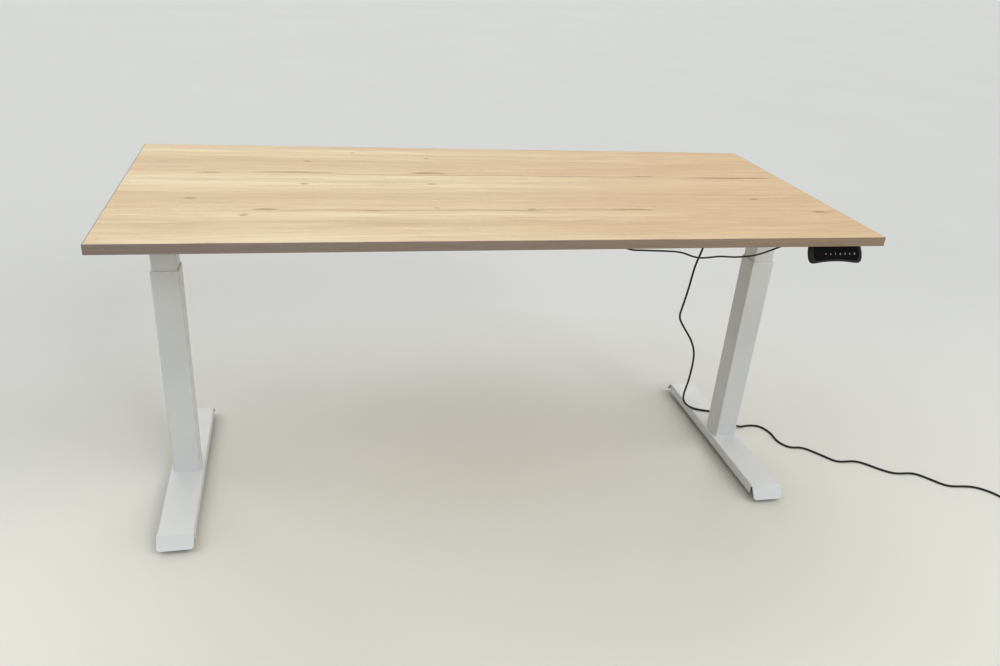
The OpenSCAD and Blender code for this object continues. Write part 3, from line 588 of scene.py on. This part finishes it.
MAINS_D = 6 * MM
CABLE_D = 4 * MM
MAINS_ROUTE = [
    (0.648, 0.126, 0.797), (0.658, 0.126, 0.797), (0.681, 0.126, 0.788), (0.697, 0.124, 0.762),
    (0.704, 0.121, 0.700), (0.702, 0.120, 0.630), (0.686, 0.120, 0.560), (0.679, 0.121, 0.490),
    (0.672, 0.125, 0.425), (0.669, 0.128, 0.388), (0.690, 0.132, 0.352), (0.728, 0.134, 0.298),
    (0.750, 0.139, 0.245), (0.752, 0.143, 0.150), (0.746, 0.147, 0.088), (0.750, 0.145, 0.060),
    (0.770, 0.128, 0.047), (0.796, 0.112, 0.046), (0.830, 0.098, 0.046), (0.862, 0.084, 0.046),
    (0.892, 0.068, 0.020), (0.922, 0.059, 0.004), (0.960, 0.064, 0.003), (0.995, 0.055, 0.003),
    (1.013, 0.015, 0.003), (1.013, -0.040, 0.003), (1.035, -0.075, 0.003), (1.075, -0.082, 0.003),
    (1.118, -0.130, 0.003), (1.150, -0.168, 0.003), (1.215, -0.176, 0.003), (1.268, -0.226, 0.003),
    (1.300, -0.250, 0.003), (1.365, -0.260, 0.003), (1.398, -0.294, 0.003), (1.430, -0.330, 0.003),
    (1.512, -0.348, 0.003), (1.550, -0.380, 0.003), (1.574, -0.430, 0.003), (1.592, -0.477, 0.003),
]
CABLE_ROUTE = [
    (0.760, -0.357, 0.800), (0.759, -0.349, 0.801), (0.755, -0.342, 0.804), (0.749, -0.338, 0.807),
    (0.740, -0.337, 0.810), (0.725, -0.337, 0.811), (0.695, -0.337, 0.811), (0.676, -0.338, 0.805),
    (0.658, -0.340, 0.798), (0.640, -0.340, 0.791),
    (0.608, -0.340, 0.780), (0.582, -0.340, 0.775), (0.542, -0.340, 0.773), (0.502, -0.340, 0.775),
    (0.455, -0.340, 0.772), (0.431, -0.340, 0.776), (0.405, -0.340, 0.785), (0.382, -0.340, 0.789),
    (0.305, -0.340, 0.793), (0.272, -0.340, 0.795), (0.248, -0.337, 0.802), (0.228, -0.320, 0.809),
    (0.217, -0.290, 0.811), (0.215, -0.240, 0.811), (0.215, -0.150, 0.811), (0.215, -0.110, 0.796),
    (0.216, -0.084, 0.772), (0.218, -0.008, 0.768), (0.219, 0.070, 0.774), (0.226, 0.100, 0.790),
    (0.245, 0.122, 0.797), (0.270, 0.130, 0.797), (0.306, 0.130, 0.797),
]

# Coil of the mains cord on the floor: two layers of turns, wound in and then out again
COIL_AT = Vector((1.631, -0.461, 0.0))
COIL_OUTER = 42 * MM
COIL_INNER = 30 * MM
COIL_START = 202.6
EASE_PASSES = 6
COIL_IN = 720.0
COIL_CLIMB = 180.0
COIL_OUT = 637.4
PLUG_ANGLE = math.radians(300)
PLUG_AXIS = Vector((-math.sin(PLUG_ANGLE), math.cos(PLUG_ANGLE), 0))
PLUG_SIDE = Vector((math.cos(PLUG_ANGLE), math.sin(PLUG_ANGLE), 0))
PLUG_Z = 19.5 * MM


def eased(t):
    """From 0 to 1 with a soft start and a soft end."""
    return t * t * (3 - 2 * t)


def coil_point(turned):
    """Point of the coil after this many degrees of winding."""
    low, high = MAINS_D / 2, MAINS_D * 1.5
    if turned < COIL_IN:
        radius = COIL_OUTER + (COIL_INNER - COIL_OUTER) * turned / COIL_IN
        height = low
    elif turned < COIL_IN + COIL_CLIMB:
        radius = COIL_INNER
        height = low + (high - low) * eased((turned - COIL_IN) / COIL_CLIMB)
    else:
        radius = COIL_INNER + (COIL_OUTER - COIL_INNER) * (turned - COIL_IN - COIL_CLIMB) / COIL_OUT
        height = high
    angle = math.radians(COIL_START + turned)
    return COIL_AT + Vector((radius * math.cos(angle), radius * math.sin(angle), height))


def mains_path():
    """Middle line of the cord: down from the control box, over the floor, round the coil, to its plug."""
    whole = COIL_IN + COIL_CLIMB + COIL_OUT
    step = 5.0
    coil = [coil_point(whole * k / round(whole / step)) for k in range(round(whole / step) + 1)]
    relief_tip = plug_point(0, 23.8 * MM, 9.24 * MM)
    inside = relief_tip + PLUG_AXIS * 4 * MM
    tail = smooth_route([coil[-1], coil[-1].lerp(relief_tip, 0.5), relief_tip, inside], 4 * MM)
    route = smooth_route(MAINS_ROUTE, 5 * MM)
    for _ in range(EASE_PASSES):
        route[2:-2] = [(a + b * 2 + c) / 4 for a, b, c in zip(route[1:-3], route[2:-2], route[3:-1])]
    for point in route:
        point.z = max(point.z, MAINS_D / 2)
    return route[:-1] + coil + tail[1:]


def plug_point(side, along, height):
    """Point in the plug's own directions: across it, along its pins, and above the floor."""
    return COIL_AT + PLUG_SIDE * (COIL_OUTER + side) + PLUG_AXIS * along + Vector((0, 0, height))


def make_plug():
    """Round grounded plug: ribbed relief, waisted grip, body with a rounded rim, two pins."""
    start = 52 * MM
    droop = math.radians(20)
    relief = 30 * MM
    ribs = 7
    pin_spacing = 19 * MM
    rings = []

    def ring(along, height, radius, lean):
        up = Vector((0, 0, math.cos(lean))) - PLUG_AXIS * math.sin(lean)
        return circle(plug_point(0, along, height), PLUG_SIDE, up, radius, 40)

    for i in range(ribs * 4 + 1):
        share = i / (ribs * 4)
        back = relief * (1 - share)
        radius = 3.6 * MM + (7 - 3.6) * MM * share
        radius += (0.45 * MM if i % 4 in (1, 2) else -0.35 * MM) * (0 < i < ribs * 4)
        lean = droop * (1 - share * 0.9)
        rings.append(ring(start - back * math.cos(droop), PLUG_Z - back * math.sin(droop), radius, lean))
    profile = [
        (0.8, 8.4), (3, 9.3), (8, 10.2), (14, 11.6), (19, 13.4), (22.5, 15.6), (25, 17.8), (26.6, 18.9),
        (28.5, 19.45), (32, 19.5), (46, 19.5), (51.5, 19.5), (53.6, 19.1), (55, 18.2), (56, 16.6), (56, 15.2),
        (55.2, 14.8), (55.2, 8),
    ]
    for along, radius in profile:
        rings.append(ring(start + along * MM, PLUG_Z, radius * MM, 0))
    points, faces = loft(rings)
    body = new_piece("mains_plug_body", points, faces, "cord_rubber", 50)

    points, faces = [], []
    for side in (-1, 1):
        pin_rings = []
        for along, radius in ((54.5, 2.4), (62, 2.4), (64, 2.35), (73.2, 2.35), (74.4, 1.9), (75, 1.1)):
            centre = plug_point(side * pin_spacing / 2, start + along * MM, PLUG_Z)
            pin_rings.append(circle(centre, PLUG_SIDE, Vector((0, 0, 1)), radius * MM, 20))
        pin_points, pin_faces = loft(pin_rings)
        faces += [[len(points) + i for i in face] for face in pin_faces]
        points += pin_points
    pins = new_piece("mains_plug_pins", points, faces, "plug_metal")
    for piece in (body, pins):
        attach(piece, "right_leg")
    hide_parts("mains_plug")
    return [body, pins]


def make_coil_tie():
    """Flat band that holds the coil's turns together."""
    angle = math.radians(75)
    out = Vector((math.cos(angle), math.sin(angle), 0))
    along = Vector((-math.sin(angle), math.cos(angle), 0))
    middle = COIL_AT + out * (COIL_OUTER + COIL_INNER) / 2 + Vector((0, 0, MAINS_D))
    half_w, half_h, corner = 9.9 * MM, 6.0 * MM, 3.4 * MM
    rings = []
    for offset, grow in ((-4.5, -0.4), (-4.2, 0.75), (4.2, 0.75), (4.5, -0.4)):
        ring = []
        for k in range(40):
            angle_k = math.tau * k / 40
            cx, cz = math.cos(angle_k), math.sin(angle_k)
            x = math.copysign(half_w - corner, cx) + corner * cx + grow * MM * cx
            z = math.copysign(half_h - corner, cz) + corner * cz + (grow * MM * cz if cz > 0 else 0)
            ring.append(middle + out * x + along * offset * MM + Vector((0, 0, z)))
        rings.append(ring)
    points, faces = loft(rings)
    tie = new_piece("mains_coil_tie", points, faces, "black_plastic")
    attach(tie, "right_leg")
    return tie


def make_mains_cord():
    """Mains cord with its plug and the coil's band."""
    path = mains_path()
    points, faces = loft(tube_rings(path, MAINS_D / 2))
    cord = new_piece("mains_lead", points, faces, "cord_rubber")
    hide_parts("mains_cord", "mains_coil")
    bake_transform(cord)
    plug = make_plug()
    tie = make_coil_tie()


def make_handset_cable():
    """Cable that hangs in a bow under the front edge and goes on to the control box."""
    path = smooth_route(CABLE_ROUTE, 4 * MM)
    points, faces = loft(tube_rings(path, CABLE_D / 2, 12))
    cable = new_piece("handset_lead", points, faces, "cord_rubber")
    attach(cable, "top")
    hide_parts("handset_cable")


# ---- handset ----

HOUSE_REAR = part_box("handset_housing")[1].y
FASCIA_LOW, FASCIA_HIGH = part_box("handset_fascia")
HANDSET_X = (FASCIA_LOW.x + FASCIA_HIGH.x) / 2
FASCIA_T = 2.5 * MM
KEYS = ("key_up", "key_down", "key_1", "key_2", "key_3", "key_4", "key_memory")
KEY_LEN = 4 * MM
# The face leans: its keys are pushed straight into it, and its lower edge stands forward
INTO = Vector(next(joint["axis"] for joint in frame["joints"] if joint["child"] == "key_1"))
UPWARD = Vector((0, -INTO.z, INTO.y))
FACE_TOP = Vector((HANDSET_X, FASCIA_HIGH.y - FASCIA_T * INTO.y, UNDER))
# Right halves of the outlines of the housing and of the glossy panel in it, from the front, in mm from the
# middle of the top edge
HOUSE_HALF = [
    (69.2, 0), (71.4, -8), (73, -16), (73.5, -24), (72.8, -32), (70.8, -38), (67, -42.3), (60.5, -44),
    (49, -43.1), (34, -41.4), (18, -40.1), (0, -39.7),
]
PANEL_HALF = [
    (58.4, -0.4), (60.4, -8), (61.4, -16), (61.5, -24), (60.6, -30), (58.2, -34.4), (54.4, -36.8),
    (48, -37.4), (40, -36.8), (28, -35.7), (15, -34.8), (0, -34.4),
]
HALF_WIDTH = 73.5 * MM
FACE_HEIGHT = 44 * MM
RIM_DEPTH = 8.5 * MM
CHEEK_ROLL = 5.9 * MM
BACK_DEPTH = 23 * MM
TAB_AWAY, TAB_R = 45 * MM, 9 * MM


def on_face(x, depth, height):
    """Place of a point given from the middle of the face's top edge: across, behind the face, up along it."""
    return FACE_TOP + Vector((x, 0, 0)) + INTO * depth + UPWARD * height


def handset_ring(inset, depth, top_drop=None, spread=1.0):
    """Outline behind the face by depth, drawn in by inset. Spread goes from the panel's outline, 0, to the
    housing's, 1. The top edge is drawn in too, or with top_drop it is level, that far under the board."""
    half = smooth_route([
        Vector((a[0] + (b[0] - a[0]) * spread, a[1] + (b[1] - a[1]) * spread, 0)) * MM
        for a, b in zip(PANEL_HALF, HOUSE_HALF)
    ])
    outline = half + [Vector((-p.x, p.y, 0)) for p in reversed(half[:-1])]
    top = -inset if top_drop is None else -(top_drop + depth * INTO.z) / INTO.y
    ring = []
    for i, point in enumerate(outline):
        along = (outline[min(i + 1, len(outline) - 1)] - outline[max(i - 1, 0)]).normalized()
        shifted = point + Vector((along.y, -along.x, 0)) * inset
        height = min(point.y if i in (0, len(outline) - 1) else shifted.y, 0)
        ring.append(on_face(shifted.x, depth, height + top * (1 + height / FACE_HEIGHT)))
    return ring


def body_ring(half_width, top, low, depth=None, y=None):
    """The outline at another size, from top to low, for the part behind the rim: leaning, behind the face by
    depth, or upright at y."""
    ring = []
    for p in handset_ring(0, 0):
        x = (p.x - HANDSET_X) * half_width / HALF_WIDTH
        height = -top - (low - top) * (p - FACE_TOP).dot(UPWARD) / -FACE_HEIGHT
        ring.append(on_face(x, depth, height) if y is None else Vector((HANDSET_X + x, y, UNDER + height)))
    return ring


def circle_ring(x, height, depth, radius):
    """Circle in the face's plane, or behind it by depth."""
    return circle(on_face(x, depth, height), Vector((1, 0, 0)), UPWARD, radius, 40)


def rounded_ring(x, height, depth, width, tall, corner):
    """Rectangle with round corners in the face's plane, or behind it by depth."""
    per_corner = 6
    ring = []
    for quarter in range(4):
        for k in range(per_corner + 1):
            angle = math.pi / 2 * (quarter + k / per_corner)
            cx, cz = math.cos(angle), math.sin(angle)
            sx = 1 if quarter in (0, 3) else -1
            sz = 1 if quarter in (0, 1) else -1
            across = x + sx * (width / 2 - corner) + corner * cx
            up = height + sz * (tall / 2 - corner) + corner * cz
            ring.append(on_face(across, depth, up))
    return ring


def pierced_plate(name, rings, hole_stacks, slot_name):
    """A plate with a rounded rim and holes, each given as rings from front to back."""
    work = bmesh.new()

    def add_ring(ring):
        return [work.verts.new(p) for p in ring]

    def wall(stack):
        for a, b in zip(stack, stack[1:]):
            for k in range(len(a)):
                after = (k + 1) % len(a)
                work.faces.new((a[k], a[after], b[after], b[k]))

    rim = [add_ring(ring) for ring in rings]
    holes = [[add_ring(ring) for ring in stack] for stack in hole_stacks]
    for stack in (rim, *holes):
        wall(stack)
    for end in (0, -1):
        edges = []
        for stack in (rim, *holes):
            loop = stack[end]
            for k in range(len(loop)):
                pair = (loop[k], loop[(k + 1) % len(loop)])
                edges.append(work.edges.get(pair) or work.edges.new(pair))
        bmesh.ops.triangle_fill(work, use_beauty=True, use_dissolve=False, edges=edges)
    return finish_piece(bpy.data.meshes.new(name), work, slot_name, 32)


def key_place(name):
    """Where a key's face is: across, behind the fascia's face, and up along it."""
    low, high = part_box(name)
    offset = (low + high) / 2 - FACE_TOP
    return offset.x, offset.dot(INTO) - KEY_LEN / 2, offset.dot(UPWARD)


WINDOW_W, WINDOW_H = 20 * MM, 13 * MM
WINDOW_X = -47.5 * MM


def window_ring(row, grow, depth):
    """Outline of the display window, grown by grow and behind the face by depth, both in mm."""
    width, tall = WINDOW_W + 2 * grow * MM, WINDOW_H + 2 * grow * MM
    return rounded_ring(WINDOW_X, row, depth * MM, width, tall, 1.5 * MM)


def make_fascia():
    """Glossy panel with a hole for each key, and the display window in a hole of its own."""
    key_row = key_place("key_1")[2]
    rings = [
        handset_ring(inset * MM, depth * MM, None, 0)
        for inset, depth in ((0.9, 0.10), (0.5, 0.16), (0.2, 0.32), (0.1, 0.6), (0.1, 2.2), (0.4, 2.5))
    ]
    holes = []
    for name in KEYS:
        x, _, height = key_place(name)
        holes.append([
            circle_ring(x, height, depth * MM, radius * MM)
            for depth, radius in ((0.10, 5.1), (0.22, 4.85), (0.4, 4.8), (2.5, 4.8))
        ])
    holes.append([window_ring(key_row, grow, depth) for grow, depth in ((0.2, 0.10), (0, 0.3), (0, 2.5))])
    fascia = pierced_plate("handset_fascia_panel", rings, holes, "fascia_gloss")
    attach(fascia, "top")
    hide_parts("handset_fascia")

    pane = ((-0.5, 0.15), (-0.15, 0.3), (-0.1, 0.6), (-0.1, 1.9))
    rings = [window_ring(key_row, grow, depth) for grow, depth in pane]
    points, faces = loft(rings)
    window = new_piece("handset_display_window", points, faces, "fascia_gloss")
    window.data.materials[0] = WINDOW_LOOKS
    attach(window, "top")


def make_housing():
    """Shell round the glossy panel: cheeks that roll back from it, a rim, a smaller body that tapers to the
    back, and two screw tabs."""
    shell = [
        body_ring(half * MM, top * MM, low * MM, depth * MM)
        for half, top, low, depth in ((51, 9, 29, 10), (53, 8, 32, 6.2))
    ]
    shell += [handset_ring(3.0 * MM, 6.0 * MM, 2.8 * MM), handset_ring(2.6 * MM, 4.4 * MM, 2.4 * MM)]
    shell += [handset_ring(-0.3 * MM, depth * MM, 0, 0) for depth in (3.2, 2.4, 0.55)]
    shell += [handset_ring(inset * MM, depth * MM, 0, 0) for inset, depth in ((-0.45, 0.32), (-0.7, 0.22))]
    rolls = 9
    for k in range(rolls + 1):
        angle = math.radians(6) + math.radians(84) * k / rolls
        depth = 0.2 * MM + CHEEK_ROLL * (1 - math.cos(angle))
        shell.append(handset_ring(0, depth, 0, 0.10 + 0.90 * math.sin(angle)))
    rim_edge = ((0.1, 7.4), (0.4, 8.1), (1.1, 8.5))
    shell += [handset_ring(inset * MM, depth * MM, 0) for inset, depth in rim_edge]
    shell += [
        body_ring(half * MM, top * MM, low * MM, depth * MM)
        for half, top, low, depth in ((57.5, 5, 36.5, 8.5), (56.3, 5.6, 35.5, 8.9))
    ]
    back = FACE_TOP.y + BACK_DEPTH
    narrow = body_ring(55.5 * MM, 8 * MM, 26 * MM, y=back)
    shell += [[a.lerp(b, share) for a, b in zip(shell[-1], narrow)] for share in (0.35, 0.7, 0.95)]
    shell += [
        body_ring((55.5 - inset) * MM, (8 + inset) * MM, (26 - inset) * MM, y=back - near * MM)
        for near, inset in ((0.35, 0.4), (0, 1.3))
    ]
    points, faces = loft(shell)
    for side in (-1, 1):
        tab_x = HANDSET_X + side * TAB_AWAY
        tab = []
        for z, inset in ((UNDER, 0.3), (UNDER - 0.3 * MM, 0), (UNDER - 2.6 * MM, 0), (UNDER - 3 * MM, 0.5)):
            ring = []
            half = TAB_R - inset * MM
            tip_y = HOUSE_REAR - TAB_R
            for k in range(25):
                angle = math.pi * k / 24
                ring.append(Vector((tab_x + half * math.cos(angle), tip_y + half * math.sin(angle), z)))
            ring += [Vector((tab_x + x, FACE_TOP.y + RIM_DEPTH, z)) for x in (-half, half)]
            tab.append(ring)
        tab_points, tab_faces = loft(tab)
        faces += [[len(points) + i for i in face] for face in tab_faces]
        points += tab_points
    housing = new_piece("handset_shell", points, faces, "black_plastic", 30)
    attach(housing, "top")
    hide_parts("handset_housing")


def stroke_ribbon(line, width, closed=False):
    """Outline pairs of a flat ribbon of this width along a line of (x, z) points."""
    line = [Vector((x, z, 0)) for x, z in line]
    count = len(line)
    left, right = [], []
    for i, point in enumerate(line):
        ahead = line[(i + 1) % count] if closed or i < count - 1 else None
        behind = line[i - 1] if closed or i > 0 else None
        into = (point - behind).normalized() if behind is not None else (ahead - point).normalized()
        out = (ahead - point).normalized() if ahead is not None else into
        mean = (into + out).normalized()
        across = Vector((-mean.y, mean.x, 0))
        reach = width / 2 / max(0.4, across.dot(Vector((-into.y, into.x, 0))))
        left.append(point + across * reach)
        right.append(point - across * reach)
    return left, right


def arc(cx, cz, radius, start, end, steps=10):
    """Points along an arc, its angles in degrees."""
    return [
        (cx + radius * math.cos(math.radians(start + (end - start) * k / steps)),
         cz + radius * math.sin(math.radians(start + (end - start) * k / steps)))
        for k in range(steps + 1)
    ]


MARK_STROKE = 0.8
# Marks printed on the keys, as lines of (x, z) in mm: arrows, numbers and a ring for the memory key
MARKS = {
    "key_up": [[(-1.7, -0.8), (0, 1.2), (1.7, -0.8)]],
    "key_down": [[(-1.7, 0.8), (0, -1.2), (1.7, 0.8)]],
    "key_1": [[(-0.7, 1.2), (0.15, 1.9), (0.15, -1.9)]],
    "key_2": [arc(0, 0.85, 1.05, 165, -35) + [(-1.1, -1.85), (1.2, -1.85)]],
    "key_3": [arc(0, 0.95, 0.95, 150, -80) + arc(0, -0.95, 1.05, 80, -150)],
    "key_4": [[(0.45, -1.9), (0.45, 1.9), (-1.2, -0.8), (1.25, -0.8)]],
    "key_memory": [arc(0, 0, 1.35, 0, 360, 24)],
}


def make_key(name):
    """A flat round key with a softly crowned face, and its printed mark."""
    low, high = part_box(name)
    x, face, height = key_place(name)
    radius = (high.x - low.x) / 2
    profile = [
        (0.05, 0.0), (0.35, 0.005), (0.62, 0.018), (0.82, 0.04), (0.91, 0.075), (0.965, 0.15), (0.99, 0.27),
        (1.0, 0.5), (1.0, 3.7), (0.96, 4.0),
    ]
    rings = [circle_ring(x, height, face + depth * MM, radius * share) for share, depth in profile]
    points, faces = loft(rings)
    key = new_piece(name + "_cap", points, faces, "key_gloss", 50)
    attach(key, name)
    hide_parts(name)

    points, faces = [], []
    proud, sunk = 0.04 * MM, 0.12 * MM
    for line in MARKS[name]:
        closed = name == "key_memory"
        line = line[:-1] if closed else line
        left, right = stroke_ribbon(line, MARK_STROKE, closed)
        start = len(points)
        for a, b in zip(left, right):
            for side in (a, b):
                for depth in (-proud, sunk):
                    points.append(on_face(x + side.x * MM, face + depth, height + side.y * MM))
        spans = len(left) if closed else len(left) - 1
        for i in range(spans):
            a, b = start + 4 * i, start + 4 * ((i + 1) % len(left))
            faces += [
                [a, a + 2, b + 2, b], [a + 1, b + 1, b + 3, a + 3],
                [a, b, b + 1, a + 1], [a + 2, a + 3, b + 3, b + 2],
            ]
        if not closed:
            end = start + 4 * (len(left) - 1)
            faces += [[start, start + 1, start + 3, start + 2], [end, end + 2, end + 3, end + 1]]
    mark = new_piece(name + "_print", points, faces, "key_print")
    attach(mark, name)


make_camera()
make_light()
make_floor()
dress_cad_nodes()
make_mains_cord()
make_handset_cable()
make_fascia()
make_housing()
for key_name in KEYS:
    make_key(key_name)
